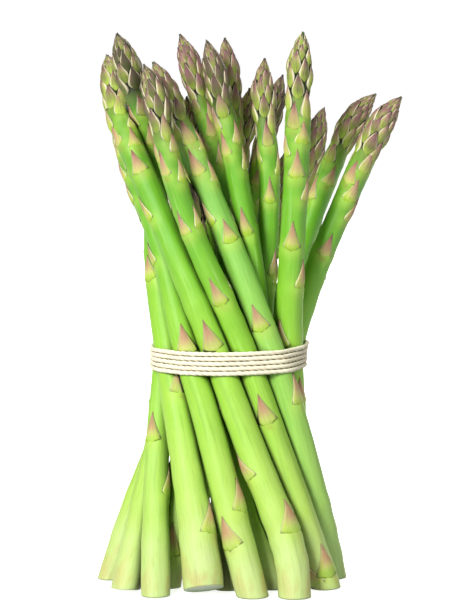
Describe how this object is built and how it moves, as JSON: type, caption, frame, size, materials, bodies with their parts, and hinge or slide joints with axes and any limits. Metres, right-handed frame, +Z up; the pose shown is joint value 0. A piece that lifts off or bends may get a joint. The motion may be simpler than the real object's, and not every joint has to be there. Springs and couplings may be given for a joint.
{
  "type": "bundle of asparagus",
  "caption": "Upright bundle of green asparagus spears leaning one past the other, held at the waist by wound cotton twine and standing on their cut ends.",
  "frame": {"origin": "middle of the core spear's level cut foot, on the surface the bundle stands on, below the middle of the twine", "axes": "+Z up along the bundle, +X to the right and +Y to the back when the bundle is seen from the front, where the outer spears lean to the upper left"},
  "size_m": [0.1193, 0.099, 0.216],
  "materials": {
    "spear": "fresh green stem skin, smooth with a faint waxy bloom, mauve-tipped scales at the heads",
    "twine": "undyed laid cotton twine, matt"
  },
  "bodies": {
    "root": {"spear_front_1": "spear", "spear_front_2": "spear", "spear_front_3": "spear", "spear_front_4": "spear", "spear_front_5": "spear", "spear_right_1": "spear", "spear_short": "spear", "spear_middle_1": "spear", "spear_middle_2": "spear", "spear_left_1": "spear", "spear_inner_1": "spear", "spear_inner_2": "spear", "spear_inner_3": "spear", "spear_right_2": "spear", "spear_left_2": "spear", "spear_back_1": "spear", "spear_core": "spear", "spear_right_3": "spear", "spear_left_3": "spear", "spear_back_2": "spear", "twine": "twine", "twine_knot": "twine", "twine_end_1": "twine", "twine_end_2": "twine"}
  },
  "joints": []
}
